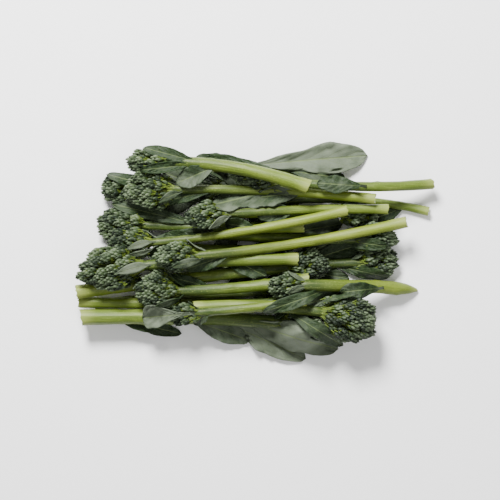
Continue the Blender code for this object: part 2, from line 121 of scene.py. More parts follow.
SPEARS = [
    Spear("low_front", (-113, -38), (31, -28), 2, 4.3, 32, 19, 0.3, 0.5, [Leaf(0.62, (-2, -14), 12)]),
    Spear("low_middle", (-124, -35), (52, -34), -2, 4.0, 33, 20, 0.4, 0.5, []),
    Spear("low_back", (31, 33), (-112, 45), 2, 4.0, 34, 21, 0.3, 1, [
        Leaf(0.62, (-105, 55), 9), Leaf(0.44, (-80, 28), 16), Leaf(0.34, (-66, 57), 17),
        Leaf(0.26, (-36, 62), 15), Leaf(0.40, (-2, 60), 13), Leaf(0.10, (36, 14), 14),
        Leaf(0.22, (4, 12), 13)]),
    Spear("back_right", (-30, 60), (52, 53), 2, 3.6, 30, 16, 0.4, 1, [
        Leaf(0.14, (80, 68.5), 21, 1.6), Leaf(0.62, (64, 52), 13), Leaf(0.30, (-43, 66), 13)]),
    Spear("under_top", (62, 46), (-50, 44), 0, 3.6, 30, 22, 0.6, 1, []),
    Spear("crossing", (123, 28.7), (-7, 32), 7, 3.1, 32, 17, 0.3, 0.6, [Leaf(0.12, (83, 23), 12)]),
    Spear("right_dark", (-35, 27), (90, 27), 0, 3.4, 33, 19, 0.3, 1, []),
    Spear("right_low", (-38, -13), (105, -7), 1, 3.8, 35, 21, 0.2, 1, [
        Leaf(0.62, (95, -18), 9), Leaf(0.36, (67, -19), 13), Leaf(0.14, (10, 3), 14),
        Leaf(0.46, (80, 7), 13), Leaf(0.52, (75, -3), 12), Leaf(0.40, (57, 8), 13)]),
    Spear("left_cut", (-125, -28), (56, -8), 1, 4.8, 36, 21, 0.6, 0.8, [
        Leaf(0.56, (-60, -2), 17), Leaf(0.50, (-14, 13), 15), Leaf(0.42, (-76, -8), 13)]),
    Spear("centre", (-72, 3), (31, 1), 0, 3.4, 31, 15, 0.4, 1, [Leaf(0.40, (8, -17), 13)]),
    Spear("right_high", (-45, 15), (103, 10), -3, 4.0, 35, 21, 0.3, 1, [
        Leaf(0.66, (93, 4), 9), Leaf(0.36, (62, 20), 15)]),
    Spear("thick", (-122, -46), (52, -53), 3, 5.5, 38, 22, 0.3, 0.7, [
        Leaf(0.10, (-52, -58), 10), Leaf(0.42, (-4, -63), 15), Leaf(0.62, (59, -69), 21),
        Leaf(0.55, (36, -76), 17), Leaf(0.74, (68, -60), 12)]),
    Spear("left_high", (34, 18), (-114, 21), -2, 4.2, 38, 25, 0.3, 1, [
        Leaf(0.44, (-101, 34), 10), Leaf(0.32, (-76, 6), 11)]),
    Spear("left_middle", (38, -19), (-88, -27), -3, 4.2, 37, 25, 0.3, 1, [Leaf(0.51, (-61, -17), 8)]),
    Spear("inner", (93, 30), (-52, 24), 2, 3.4, 34, 17, 0.5, 1, [Leaf(0.42, (1, 26), 13)]),
    Spear("lower_right", (-42, -39), (90, -51), 6, 4.3, 48, 31, 0.5, 1, [
        Leaf(0.46, (62, -66), 11), Leaf(0.34, (33, -34), 9), Leaf(0.50, (65, -29), 12)]),
    Spear("upper_left", (84, 37), (-95, 42), 4, 3.6, 42, 25, 0.7, 1, [
        Leaf(0.40, (-30, 33), 15), Leaf(0.26, (-13, 37), 16), Leaf(0.60, (-72, 34), 8)]),
    Spear("top_right", (125, 48), (-22, 57), -6, 3.6, 40, 16, 0.3, 1, [
        Leaf(0.32, (43, 48), 12), Leaf(0.62, (-34, 67), 11)]),
    Spear("middle", (64, 29), (-106, 4), -4, 3.4, 36, 21, 0.9, 1, [
        Leaf(0.36, (-21, 20), 10), Leaf(0.58, (-64, 11), 9)]),
    Spear("short_shoot", (35, -34), (-64, -44), -1, 3.4, 24, 15, 0.5, 1, [
        Leaf(0.70, (-79, -46), 17, 2.6), Leaf(0.66, (-43, -51), 7)]),
    Spear("open_head", (30, -5), (-126, -14), 2, 4.3, 52, 29, 0.3, 1, [Leaf(0.52, (-78, 1), 8)]),
    Spear("long_bright", (106, 21), (-74, -5), -4, 3.8, 38, 20, 1, 1, [Leaf(0.66, (-48, -12), 11)]),
    Spear("pointed", (115, -27), (5, -24), 2, 4.8, 30, 17, 0.7, 1, [
        Leaf(0.52, (5, -42), 10), Leaf(0.22, (59, -28), 12)], 16),
    Spear("top_left", (37, 45), (-93, 62), 7, 4.8, 32, 21, 0.5, 1, [
        Leaf(0.56, (-78, 73), 9), Leaf(0.58, (-80, 57), 8), Leaf(0.48, (-55, 48), 14)]),
]


def node_of(spear, part):
    """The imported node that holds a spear's stem or head. Spears are numbered in the plan's order."""
    return f"spear_{SPEARS.index(spear) + 1:02d}_{spear.name}_{part}"


def plan_point(spear, t):
    """A place on a spear's centreline, from t = 0 at the cut end to t = 1 at the head's tip."""
    along = Vector(spear.cut).lerp(Vector(spear.tip), t) + Vector((0, spear.bow)) * 4 * t * (1 - t)
    return along * MM - PLAN_MIDDLE


def spear_length(spear):
    return (Vector(spear.tip) - Vector(spear.cut)).length * MM


def fork_at(spear):
    """Where the stem forks into branchlets, which is where the head starts."""
    return 1 - spear.head_long * MM / spear_length(spear)


print(len(SPEARS), "spears in the plan,", sum(len(spear.leaves) for spear in SPEARS), "leaves")

# %% [markdown]
# A vertical line through a solid enters it at one height and leaves it at another. Those crossings tell
# how high a stem or a leaf lies at each place, because both have a known thickness there. The heights
# could be copied into this file as numbers, but reading them keeps the dressed bunch true to the solids.
# A ray that is shot down finds the crossings one by one, and a search tree of the faces makes that quick.

# %% Cross a solid with a vertical line
DOWN = Vector((0, 0, -1))
RAY_STEP = 0.01 * MM
TREES = {}


def search_tree(objects):
    """One search tree of the faces of all these objects."""
    points, faces = [], []
    for item in objects:
        first = len(points)
        points += [vert.co.copy() for vert in item.data.vertices]
        faces += [[first + index for index in face.vertices] for face in item.data.polygons]
    return BVHTree.FromPolygons(points, faces)


def crossings(node, x, y):
    """Where a vertical line crosses a solid, from the top down, as pairs of a top and an underside."""
    if node not in TREES:
        TREES[node] = search_tree([frame["nodes"][node]])
    heights, start = [], cad_box[1].z + 1 * MM
    while True:
        hit = TREES[node].ray_cast(Vector((x, y, start)), DOWN)[0]
        if hit is None:
            break
        heights.append(hit.z)
        start = hit.z - RAY_STEP
    return list(zip(heights[::2], heights[1::2]))


sample = plan_point(SPEARS[0], 0.3)
pairs = crossings(node_of(SPEARS[0], "stem"), sample.x, sample.y)
print("the first stem is crossed at", in_mm(pairs), "mm")

# %% [markdown]
# Where two crossings are about one stem's thickness apart, they are the stem's own top and underside.
# Where a leaf or a branchlet joins the stem they are further apart, so that reading is left out and
# filled in from its neighbours. Smoothing the row of heights then gives a line that bends as gently as a
# grown stem does.

# %% Read the stems' heights
STEM_TAPER = 0.2
POINT_END = 0.2
STEM_READINGS = 60
FIRST_READING, READING_SPAN = 0.01, 0.98
THINNEST_STEM, THICKEST_STEM = 0.84, 1.12
TOP_TO_CENTRE = 0.48
STEM_SMOOTHINGS = 6


def stem_radius(spear, t):
    """A stem tapers evenly. One that was cut to a point also narrows to it."""
    radius = spear.stem * MM * (1 - STEM_TAPER * t)
    if not spear.point:
        return radius
    share = min(1.0, t * spear_length(spear) / (spear.point * MM))
    return radius * (POINT_END + (1 - POINT_END) * math.sin(0.5 * math.pi * share))


def smoothed(values, rounds):
    for _ in range(rounds):
        middle = [(a + 2 * b + c) / 4 for a, b, c in zip(values, values[1:], values[2:])]
        values = [values[0], *middle, values[-1]]
    return values


def stem_heights(spear):
    """The heights of the stem's centreline from the cut end to the fork, read at even steps."""
    fork, found = fork_at(spear), {}
    for k in range(STEM_READINGS + 1):
        t = (FIRST_READING + READING_SPAN * k / STEM_READINGS) * fork
        place, thick = plan_point(spear, t), 2 * stem_radius(spear, t)
        fits = [top for top, under in crossings(node_of(spear, "stem"), place.x, place.y)
                if THINNEST_STEM * thick < top - under < THICKEST_STEM * thick]
        if fits:
            found[k] = fits[0] - TOP_TO_CENTRE * thick
    known = sorted(found)
    heights = []
    for k in range(STEM_READINGS + 1):
        before = max([i for i in known if i <= k] or known[:1])
        after = min([i for i in known if i >= k] or known[-1:])
        share = 0 if before == after else (k - before) / (after - before)
        heights.append(found[before] * (1 - share) + found[after] * share)
    return smoothed(heights, STEM_SMOOTHINGS)


HEIGHTS = {spear.name: stem_heights(spear) for spear in SPEARS}


def centre_point(spear, t):
    """A point of the stem's centreline, straight on beyond the fork."""
    heights, at = HEIGHTS[spear.name], STEM_READINGS * t / fork_at(spear)
    k = min(int(at), STEM_READINGS - 1)
    return Vector((*plan_point(spear, t), heights[k] + (at - k) * (heights[k + 1] - heights[k])))


for spear in SPEARS:
    line = [round(1000 * centre_point(spear, t * fork_at(spear)).z) for t in (0, 0.5, 1)]
    print(f"{spear.name}: {line} mm high at the cut end, the middle and the fork")

# %% [markdown]
# Plants are never one flat green. A photograph could be wrapped round each piece, but it would show its
# seams and bring its own shadows, so each material is a small graph of nodes instead. A helper adds a
# node and fills in its values, which keeps the graphs short to read. The patterns follow the surface
# through its own UV map: on a stem, U runs round it and V along it, and on a leaf U runs across and V
# from stalk to tip. The smaller mottling reads the object's own coordinates, so it has no seams.

# %% A helper for node graphs


class Graph:
    """A material's node graph, with the Principled shader that it ends in."""

    def __init__(self, name):
        self.material = bpy.data.materials.new(name)
        self.material.use_nodes = True
        self.tree = self.material.node_tree
        self.shader = self.tree.nodes["Principled BSDF"]

    def add(self, kind, output=0, values=None, **settings):
        """Adds a node and returns an output. values fills sockets with numbers or other outputs."""
        node = self.tree.nodes.new("ShaderNode" + kind)
        for key, value in settings.items():
            setattr(node, key, value)
        for socket, value in (values or {}).items():
            self.put(node.inputs[socket], value)
        return node.outputs[output]

    def put(self, socket, value):
        if isinstance(value, bpy.types.NodeSocket):
            self.tree.links.new(value, socket)
        else:
            socket.default_value = value

    def maths(self, operation, *values):
        return self.add("Math", 0, dict(enumerate(values)), operation=operation)

    def mixed(self, share, a, b):
        values = {"Factor": share, "A": a, "B": b}
        node = self.tree.nodes.new("ShaderNodeMix")
        node.data_type = "RGBA"
        for socket in node.inputs:
            if socket.name in values and socket.type == ("VALUE" if socket.name == "Factor" else "RGBA"):
                self.put(socket, values[socket.name])
        return next(output for output in node.outputs if output.type == "RGBA")

    def over(self, below, above, mask, strength):
        """Lays the colour above over the one below, where the mask is and as much as strength says."""
        return self.mixed(self.maths("MULTIPLY", mask, strength), below, above)

    def ramp(self, value, low, high):
        """0 below low, 1 above high, and smooth between them. The other way round if low is the higher."""
        values = {"Value": value, "From Min": low, "From Max": high}
        return self.add("MapRange", 0, values, interpolation_type="SMOOTHSTEP")

    def spread(self, value, low, high):
        """Low where the value is 0, and high where it is 1."""
        return self.add("MapRange", 0, {"Value": value, "To Min": low, "To Max": high})

    def stretched(self, source, scale):
        return self.add("Mapping", 0, {"Vector": source, "Scale": scale})

    def noise(self, vector, scale, detail=3, rough=0.55):
        values = {"Vector": vector, "Scale": scale, "Detail": detail, "Roughness": rough}
        return self.add("TexNoise", 0, values)

    def bump(self, height, strength, distance):
        return self.add("Bump", 0, {"Height": height, "Strength": strength, "Distance": distance})

    def surface(self, values):
        """Fills the shader's own sockets, and returns the material."""
        for socket, value in values.items():
            self.put(self.shader.inputs[socket], value)
        return self.material


SKIN = {}


def keep_skin(name, material):
    """Keeps a material under the name of what it covers."""
    SKIN[name] = material
    print(f"{material.name}: {len(material.node_tree.nodes)} nodes")


# %% [markdown]
# A fresh stem has a taut waxy skin, brightest where it has grown fastest and deeper green towards the
# head. Fine fibres run along it under the skin. They show as pale and dark streaks, and as ridges that
# only the highlights pick out. So the streaks are a noise that is stretched along V, and the same noise
# drives the bump, which is cheaper than modelling each ridge. How bright a spear is comes from the plan,
# and each of its points carries it as a number that the shader reads by name.

# %% Stem skin
STEM_BRIGHT = (0.140, 0.185, 0.014, 1)
STEM_GREEN = (0.052, 0.090, 0.009, 1)
STEM_PALE = (0.27, 0.31, 0.075, 1)
STEM_DEEP = (0.013, 0.030, 0.005, 1)
FIBRES_ROUND, FIBRES_ALONG = 30, 6
STEM_PATCHES, STEM_SPECKS = 45, 1000
DEEP_HEAD, PALE_CUT, PALE_SPECKS = 0.85, 0.5, 0.3
PALE_FIBRES, DEEP_FIBRES = 0.35, 0.6
STEM_BUMP, FIBRE_DEPTH = 0.6, 0.4 * MM


def stem_skin():
    g = Graph("stem_skin")
    uv, place = g.add("UVMap"), g.add("TexCoord", "Object")
    bright = g.add("Attribute", "Fac", attribute_name="shade")
    along = g.add("SeparateXYZ", 1, {0: uv})
    fibres = g.noise(g.stretched(uv, (FIBRES_ROUND, FIBRES_ALONG, 1)), 1.0, detail=5, rough=0.62)
    patches = g.noise(place, STEM_PATCHES)
    specks = g.noise(place, STEM_SPECKS, detail=2)
    colour = g.mixed(bright, STEM_GREEN, STEM_BRIGHT)
    depth = g.maths("ADD", along, g.maths("MULTIPLY", patches, 0.5))
    colour = g.over(colour, STEM_DEEP, g.ramp(depth, 0.5, 1.2), DEEP_HEAD)
    colour = g.over(colour, STEM_PALE, g.ramp(fibres, 0.5, 0.74), PALE_FIBRES)
    colour = g.over(colour, STEM_DEEP, g.ramp(fibres, 0.48, 0.28), DEEP_FIBRES)
    colour = g.over(colour, STEM_PALE, g.ramp(along, 0.09, 0.0), PALE_CUT)
    colour = g.over(colour, STEM_PALE, g.ramp(specks, 0.60, 0.68), PALE_SPECKS)
    roughness = g.spread(patches, 0.40, 0.58)
    height = g.maths("ADD", fibres, g.maths("MULTIPLY", specks, 0.15))
    return g.surface({
        "Base Color": colour, "Roughness": roughness, "Specular IOR Level": 0.3,
        "Normal": g.bump(height, STEM_BUMP, FIBRE_DEPTH)})


keep_skin("stem", stem_skin())

# %% [markdown]
# A cut end shows the inside of the stem: a pale moist pith, mottled by the ends of the fibres. It could
# share the skin's graph with a mask, but the cut faces are real faces, so they simply get a material of
# their own. Its mottling reads the object's coordinates.

# %% Cut pith
PITH = (0.50, 0.55, 0.22, 1)
PITH_FIBRES = (0.15, 0.21, 0.03, 1)
PITH_BLOTCHES = 800
PITH_BUMP, PITH_DEPTH = 0.6, 0.3 * MM


def cut_pith():
    g = Graph("cut_pith")
    blotches = g.noise(g.add("TexCoord", "Object"), PITH_BLOTCHES, detail=4)
    return g.surface({
        "Base Color": g.mixed(g.ramp(blotches, 0.42, 0.66), PITH, PITH_FIBRES), "Roughness": 0.5,
        "Normal": g.bump(blotches, PITH_BUMP, PITH_DEPTH)})


keep_skin("pith", cut_pith())

# %% [markdown]
# The leaves have a grey bloom of wax over dark green. A pale midrib runs from the stalk to the tip, side
# veins leave it at a slant, and a fine net fills the spaces. Veins could be cut into the mesh, but they
# are finer than its faces, so nodes draw them. The midrib is the distance from the middle of U. The side
# veins are a sawtooth of V that slants with that distance, and the net is the edges of a Voronoi pattern.
# Some leaves are greyer than others, partly by their own bloom and partly as a painted pale reflection on
# the large leaves and painted shade on the small ones, so the bloom also depends on a number that each
# leaf carries.

# %% Leaf skin
LEAF_DARK = (0.010, 0.022, 0.006, 1)
LEAF_BLOOM = (0.105, 0.126, 0.087, 1)
LEAF_VEIN = (0.11, 0.145, 0.055, 1)
SIDE_VEINS = 7
VEIN_SLANT = 0.46
MIDRIB_OUTER, MIDRIB_INNER = 0.066, 0.034
VEIN_OUTER, VEIN_INNER = 0.05, 0.012
NET_CELLS, NET_EDGE = 420, 0.10
VEIN_WOBBLES, WOBBLE_SIZE = 120, 0.05
BLOOM_PATCHES = 70
PALE_NET, PALE_RIBS = 0.14, 0.7
LEAF_BUMP, VEIN_DEPTH = 0.5, 0.4 * MM


def leaf_skin():
    g = Graph("leaf_skin")
    uv, place = g.add("UVMap"), g.add("TexCoord", "Object")
    grey = g.add("Attribute", "Fac", attribute_name="shade")
    across, along = (g.add("SeparateXYZ", k, {0: uv}) for k in (0, 1))
    off = g.maths("ABSOLUTE", g.maths("SUBTRACT", across, 0.5))
    wobble = g.maths("MULTIPLY", g.noise(place, VEIN_WOBBLES, detail=2), WOBBLE_SIZE)
    midrib = g.ramp(g.maths("ADD", off, wobble), MIDRIB_OUTER, MIDRIB_INNER)
    saw = g.maths("SUBTRACT", g.maths("ADD", along, wobble), g.maths("MULTIPLY", off, VEIN_SLANT))
    tooth = g.maths("PINGPONG", g.maths("MULTIPLY", saw, SIDE_VEINS), 0.5)
    veins = g.maths("MULTIPLY", g.ramp(tooth, VEIN_OUTER, VEIN_INNER), g.ramp(off, 0.5, 0.1))
    cells = g.add("TexVoronoi", 0, {"Vector": place, "Scale": NET_CELLS}, feature="DISTANCE_TO_EDGE")
    net = g.ramp(cells, NET_EDGE, 0.0)
    # The leaf's number greys it: partly bloom, and partly a painted pale reflection and painted shade.
    bloom_and_painted_light = g.maths("ADD", g.noise(place, BLOOM_PATCHES, detail=4), g.maths("MULTIPLY", grey, 0.5))
    colour = g.mixed(g.ramp(bloom_and_painted_light, 0.45, 1.05), LEAF_DARK, LEAF_BLOOM)
    colour = g.over(colour, LEAF_VEIN, net, PALE_NET)
    ribs = g.maths("MAXIMUM", midrib, g.maths("MULTIPLY", veins, 0.5))
    colour = g.over(colour, LEAF_VEIN, ribs, PALE_RIBS)
    relief = g.maths("ADD", g.maths("MAXIMUM", midrib, veins), g.maths("MULTIPLY", net, 0.3))
    return g.surface({
        "Base Color": colour, "Specular IOR Level": 0.2,
        "Normal": g.bump(g.maths("SUBTRACT", 1.0, relief), LEAF_BUMP, VEIN_DEPTH),
        "Roughness": g.spread(bloom_and_painted_light, 0.5, 0.7)})


keep_skin("leaf", leaf_skin())

# %% [markdown]
# Closed buds are dark green with a grey bloom on their tips, on stalks of a fresh light green, and a few
# young ones are yellowish. Thousands of materials would do it, but one is enough: each point carries a
# number, how far it is along the bud, and a second one that is different for each bud and also holds
# painted shade, darker round a floret's rim. The shader reads both by name.

# %% Bud skin
BUD_DARK = (0.005, 0.011, 0.004, 1)
BUD_GREEN = (0.021, 0.040, 0.009, 1)
BUD_BLOOM = (0.105, 0.136, 0.078, 1)
BUD_YOUNG = (0.060, 0.090, 0.012, 1)
STALK_GREEN = (0.075, 0.110, 0.012, 1)
BUD_MOTTLE = 600
BUD_BUMP, MOTTLE_DEPTH = 0.3, 0.2 * MM


def bud_skin():
    g = Graph("bud_skin")
    along = g.add("Attribute", "Fac", attribute_name="along")
    # shade also holds painted shade: lower on a floret's rim and higher on its top. The bloom follows it
    # too.
    shade = g.add("Attribute", "Fac", attribute_name="shade")
    mottle = g.noise(g.add("TexCoord", "Object"), BUD_MOTTLE, detail=2)
    colour = g.mixed(g.ramp(shade, 0.1, 0.75), BUD_DARK, BUD_GREEN)
    colour = g.mixed(g.ramp(shade, 0.82, 1.0), colour, BUD_YOUNG)
    bloom_and_painted_light = g.ramp(g.maths("ADD", g.maths("MULTIPLY", shade, 0.5), mottle), 0.45, 1.05)
    colour = g.over(colour, BUD_BLOOM, g.ramp(along, 0.42, 0.85), bloom_and_painted_light)
    colour = g.mixed(g.ramp(along, 0.48, 0.32), colour, STALK_GREEN)
    return g.surface({
        "Base Color": colour, "Roughness": 0.6, "Specular IOR Level": 0.2,
        "Normal": g.bump(mottle, BUD_BUMP, MOTTLE_DEPTH)})


keep_skin("bud", bud_skin())

# %% [markdown]
# Stems, branchlets and leaves all start as a flat grid, because a grid comes with a tidy UV map. A curve
# with a round bevel would give a stem too, but always an even one. A stem here is the grid rolled into a
# tube: U becomes the angle, V the way along, and the two edges that meet are merged. The caller gives the
# line to follow and the radius, and may add dents and ridges by giving a radius that depends on the
# angle.

# %% Roll a grid into a tube
SLOPE_STEP = 0.01
TUBE_WELD = 0.001 * MM


def side_and_up(direction):
    side = direction.cross(Vector((0, 0, 1))).normalized()
    return side, side.cross(direction)


def flat_grid(along, across):
    """A grid from -0.5 to 0.5 each way. Its X runs along the piece and becomes V, and its Y becomes U."""
    bm = bmesh.new()
    bmesh.ops.create_grid(bm, x_segments=along, y_segments=across, size=0.5, calc_uvs=True)
    uv_layer = bm.loops.layers.uv.verify()
    for face in bm.faces:
        for loop in face.loops:
            loop[uv_layer].uv = (loop.vert.co.y + 0.5, loop.vert.co.x + 0.5)
    return bm


def rolled_tube(line, radius, rings, sides):
    """line(v) is a point and radius(v, angle) a distance, for v from 0 to 1. The ends stay open."""
    bm = flat_grid(rings, sides)
    frames = {}
    for vert in bm.verts:
        v, angle = vert.co.x + 0.5, math.tau * (vert.co.y + 0.5)
        key = round(v * rings)
        if key not in frames:
            ahead, behind = line(min(1, v + SLOPE_STEP)), line(max(0, v - SLOPE_STEP))
            frames[key] = (line(v), *side_and_up((ahead - behind).normalized()))
        centre, side, up = frames[key]
        reach = radius(v, angle)
        vert.co = centre + side * reach * math.cos(angle) + up * reach * math.sin(angle)
    bmesh.ops.remove_doubles(bm, verts=bm.verts, dist=TUBE_WELD)
    return bm


def closed(bm):
    """Fills every open rim and turns all faces outwards."""
    bmesh.ops.holes_fill(bm, edges=[edge for edge in bm.edges if edge.is_boundary], sides=0)
    bmesh.ops.recalc_face_normals(bm, faces=bm.faces)
    return bm


sample = rolled_tube(lambda v: Vector((0.1 * v, 0, 0)), lambda v, angle: 5 * MM, 10, 8)
print("a tube of 10 rings and 8 sides has", len(sample.faces), "faces,", len(sample.verts), "points")
sample.free()

# %% [markdown]
# Every spear becomes three pieces: its stem with branchlets, its leaves, and its head of buds. Each of
# them is built as one mesh, so that the bunch has a few dozen pieces and not thousands. A finished piece
# takes its materials, rides on the bunch's one body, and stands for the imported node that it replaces.

# %% Shade, merge and finish a piece


def shaded(bm, shade):
    """Every point of the mesh carries this shade, which its material reads."""
    layer = bm.verts.layers.float.get("shade") or bm.verts.layers.float.new("shade")
    for vert in bm.verts:
        vert[layer] = shade
    return bm


def merged(pieces):
    """One mesh from several, which keep their UV maps, shades and material numbers."""
    whole = bmesh.new()
    for bm in pieces:
        mesh = bpy.data.meshes.new("merging")
        bm.to_mesh(mesh)
        bm.free()
        whole.from_mesh(mesh)
        bpy.data.meshes.remove(mesh)
    return whole


def finished(name, bm, skins, node, smooth_angle=40):
    """Makes a piece of the bunch from a mesh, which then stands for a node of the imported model."""
    mesh = bpy.data.meshes.new(name)
    bm.to_mesh(mesh)
    bm.free()
    for skin in skins:
        mesh.materials.append(SKIN[skin])
    mesh.shade_smooth()
    mesh.set_sharp_from_angle(angle=math.radians(smooth_angle))
    piece = bpy.data.objects.new(name, mesh)
    bpy.context.scene.collection.objects.link(piece)
    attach(piece, "root")
    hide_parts(node)
    return piece


# %% [markdown]
# The head has its own axes. It starts at the fork, and its length points at the middle of the packed
# head, so the fine head sits just where the plain one is. A head is a squashed egg with its narrow end at
# the fork. The florets could be scattered at random over it, but some would clash and others leave holes.
# They follow a spiral that turns by the golden angle, as seeds do, which spaces them evenly with no rows.
# They all grow from about the same place, so each looks away from a point far behind the fork, and the
# head is a narrow fan. A floret that would be under the floor is left out.

# %% The head's own axes and the places of its florets
HEAD_FLATTEN = 0.78
HEAD_BASE = 0.12
BASE_NARROWING = 0.45
GOLDEN_ANGLE = math.pi * (3 - math.sqrt(5))
FLORET_AREA = 27
FEWEST_FLORETS = 9
FLORET_SMALLEST = 2.0 * MM
FLORET_GROWTH = 0.062
FLORET_SIZES = (0.8, 1.2)
FLORET_REACHES = (0.78, 1.07)
FLORET_STRETCH = 1.9
SPIRAL_DEPTH, SPIRAL_START = 1.5, 0.4
SPIRAL_UNEVEN = (-0.25, 0.25)
FAN_START = 0.8
LOWEST_FLORET = 1.5 * MM

Floret = namedtuple("Floret", "base way radius")


def head_frame(spear):
    fork = centre_point(spear, fork_at(spear))
    verts = frame["nodes"][node_of(spear, "head")].data.vertices
    middle = sum((vert.co for vert in verts), Vector()) / len(verts)
    axis = (middle - fork).normalized()
    side, up = side_and_up(axis)
    return Matrix.Translation(fork) @ Matrix((side, up, axis)).transposed().to_4x4()


def florets_of(spear, draw):
    """A head's florets in its own axes: where its stalks meet, which way it looks, and its radius."""
    half_wide = 0.5 * spear.head_wide * MM
    half_long = 0.5 * (1 - HEAD_BASE) * spear.head_long * MM
    middle = Vector((0, 0, 0.5 * (1 + HEAD_BASE) * spear.head_long * MM))
    fan_start = Vector((0, 0, -FAN_START * spear.head_long * MM))
    size = (FLORET_SMALLEST + FLORET_GROWTH * spear.head_wide * MM) / math.sqrt(spear.buds)
    count = max(FEWEST_FLORETS, round(spear.buds * spear.head_long * spear.head_wide / FLORET_AREA))
    florets = []
    for k in range(count):
        rise = 1 - SPIRAL_DEPTH * (k + SPIRAL_START) / count
        angle = k * GOLDEN_ANGLE + draw.uniform(*SPIRAL_UNEVEN)
        round_it = math.sqrt(max(0.0, 1 - rise * rise)) * (1 - BASE_NARROWING * max(0.0, -rise))
        unit = Vector((round_it * math.cos(angle), HEAD_FLATTEN * round_it * math.sin(angle), rise))
        on_egg = Vector((half_wide * unit.x, half_wide * unit.y, half_long * unit.z))
        skin = middle + on_egg * draw.uniform(*FLORET_REACHES)
        way = (skin - fan_start).normalized()
        radius = size * draw.uniform(*FLORET_SIZES)
        florets.append(Floret(skin - way * FLORET_STRETCH * radius, way, radius))
    return florets


FLORETS = {}
for spear in SPEARS:
    to_head, florets = head_frame(spear), florets_of(spear, random.Random("florets of " + spear.name))
    above_floor = [floret for floret in florets if (to_head @ floret.base).z > LOWEST_FLORET]
    FLORETS[spear.name] = (to_head, above_floor)
print("florets:", {name: len(florets) for name, (_, florets) in FLORETS.items()})

# %% [markdown]
# Now the stems. Each one follows the heights that were read off its solid, and it is a little uneven, as
# grown things are: shallow ridges run along it, slow noise swells and pinches it, and a low bump marks
# each place where a leaf was stripped off. Sculpting would give that too, but a radius that changes with
# the place is exact and can be read. Their heights are shares of the stem's radius.

# %% The stem's skin, bump by bump
RIDGES, RIDGE_HEIGHT, RIDGE_TWIST = 7, 0.016, 5
LUMP_HEIGHT, LUMP_PACE = 0.07, 14
CUT_SWELL, SWELL_REACH = 0.05, 0.08
HEAD_NARROWING = 0.62
INTO_HEAD = 0.34
SCARS = 5
SCAR_PLACES, SCAR_SIZES = (0.08, 0.85), (0.8, 1.3)
SCAR_HEIGHT, SCAR_LONG, SCAR_WIDE = 0.13, 2.2 * MM, 0.33
NOISE_STARTS = (0, 100)


def stem_surface(spear, draw):
    """How far the skin is from the centreline, for v along the stem and an angle round it."""
    reach = fork_at(spear) + INTO_HEAD * (1 - fork_at(spear))
    scars = []
    for _ in range(SCARS):
        scars.append((draw.uniform(*SCAR_PLACES), draw.uniform(0, math.tau), draw.uniform(*SCAR_SIZES)))
    start, length = draw.uniform(*NOISE_STARTS), spear_length(spear)

    def scar_bump(v, angle, at, turn, size):
        along = (v - at) * length / SCAR_LONG
        round_it = math.sin((angle - turn) / 2) / SCAR_WIDE
        return SCAR_HEIGHT * size * math.exp(-along ** 2 - round_it ** 2)

    def radius(v, angle):
        t = v * reach
        swell = 0.0 if spear.point else CUT_SWELL * max(0.0, 1 - t / SWELL_REACH)
        narrow = 1 - HEAD_NARROWING * max(0.0, (t - fork_at(spear)) / (reach - fork_at(spear)))
        ridge = RIDGE_HEIGHT * math.cos(RIDGES * angle + RIDGE_TWIST * t)
        lumps = LUMP_HEIGHT * noise.noise(Vector((start + LUMP_PACE * t, math.cos(angle), math.sin(angle))))
        scar = sum(scar_bump(v, angle, *where) for where in scars)
        return stem_radius(spear, t) * (1 + swell + ridge + lumps + scar) * narrow

    return radius, reach


print("each stem has", RIDGES, "ridges and", SCARS, "leaf scars")

# %% [markdown]
# No two stems are cut alike, so the end slants by a random amount and its rim is ragged. A plain cap
# would do, but a knife leaves a raised edge of skin round a sunken middle. So the rim is filled, that
# face is inset for the skin's edge, and two more insets and a poke sink the pith inside it. Their sizes
# are shares of the radius.

# %% The cut end
CUT_ZONE = 6 * MM
RIM_REACH = 8 * MM
CUT_SLANTS = (0.0, 0.16)
RAG_SIZE, RAG_PACE = 1.5 * MM, 800
SKIN_EDGE = 0.07
PITH_RINGS = ((0.12, -0.05), (0.3, -0.03))
PITH_SINK = -0.05
PITH_NUMBER = 1


def ragged_cut(bm, spear, draw):
    """Slants the cut end and pulls its rim in and out, less and less along the cut zone."""
    cut, inside = centre_point(spear, 0), centre_point(spear, 0.05)
    axis = (inside - cut).normalized()
    side, up = side_and_up(axis)
    turn, slant, start = draw.uniform(0, math.tau), draw.uniform(*CUT_SLANTS), draw.uniform(*NOISE_STARTS)
    for vert in bm.verts:
        off = vert.co - cut
        depth = off.dot(axis)
        if depth > CUT_ZONE:
            continue
        across = off.dot(side) * math.cos(turn) + off.dot(up) * math.sin(turn)
        ragged = RAG_SIZE * noise.noise(Vector((start, RAG_PACE * off.dot(side), RAG_PACE * off.dot(up))))
        near = 1 - max(0.0, depth) / CUT_ZONE
        vert.co += axis * (slant * across * near + ragged * near * near)


def close_cut_end(bm, spear):
    """Fills the open rim at the cut end and sinks the pith a little."""
    cut, size = centre_point(spear, 0), stem_radius(spear, 0)
    rim = [edge for edge in bm.edges if edge.is_boundary and (edge.verts[0].co - cut).length < RIM_REACH]
    face = bmesh.ops.holes_fill(bm, edges=rim, sides=0)["faces"][0]
    bmesh.ops.inset_region(bm, faces=[face], thickness=SKIN_EDGE * size, depth=0.0)
    face.material_index = PITH_NUMBER
    for share, depth in PITH_RINGS:
        ring = bmesh.ops.inset_region(bm, faces=[face], thickness=share * size, depth=depth * size)
        for ring_face in ring["faces"]:
            ring_face.material_index = PITH_NUMBER
    bmesh.ops.poke(bm, faces=[face], offset=PITH_SINK * size)


# %% [markdown]
# The whole stem is a rolled tube along its centreline. Beyond the fork it runs on into the head, where it
# gets thin, so that the first branchlets leave something solid.

# %% One stem
STEM_SIDES = 24
RING_STEP = 2.2 * MM


